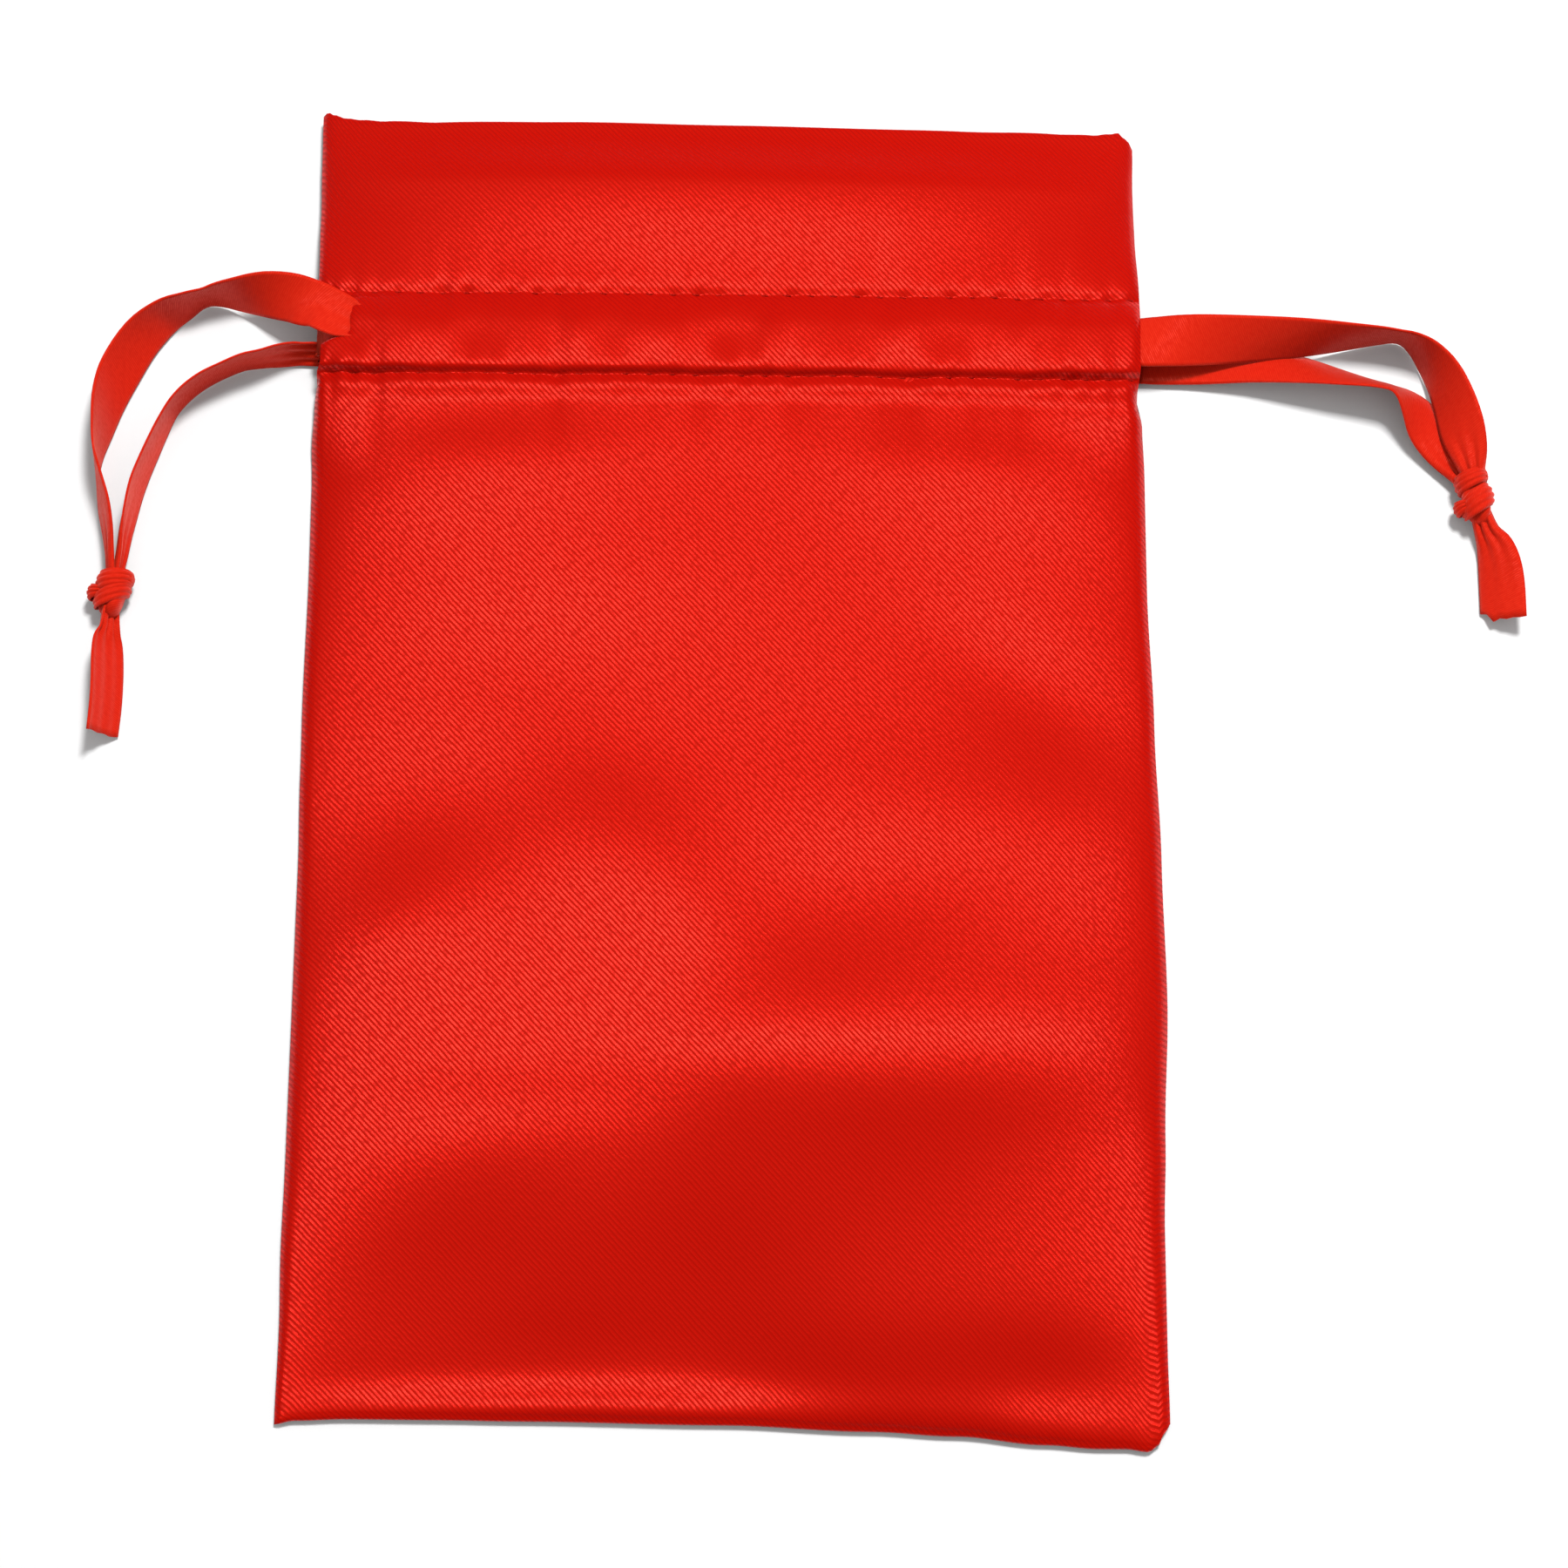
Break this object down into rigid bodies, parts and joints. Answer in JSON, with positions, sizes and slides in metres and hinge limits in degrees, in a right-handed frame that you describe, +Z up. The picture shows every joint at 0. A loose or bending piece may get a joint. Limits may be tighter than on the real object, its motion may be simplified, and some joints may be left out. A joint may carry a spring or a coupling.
{
  "type": "drawstring pouch",
  "caption": "Flat rectangular satin pouch with a double heading, a stitched casing in each panel and ribbon drawstrings drawn out at both sides and knotted.",
  "frame": {"origin": "middle of the pouch's footprint, on the surface that its back panel lies on; the drawstrings are left out of the footprint", "axes": "+X across the pouch to its right side seen from the front, +Y along it from the bottom fold to the mouth, +Z up out of the front panel"},
  "size_m": [0.1723, 0.1618, 0.0089],
  "materials": {
    "satin": "satin weave, soft sheen",
    "ribbon": "satin ribbon, soft sheen"
  },
  "bodies": {
    "root": {"pouch_body": "satin", "drawstring_left": "ribbon", "drawstring_right": "ribbon", "knot_left": "ribbon", "knot_right": "ribbon"}
  },
  "joints": []
}
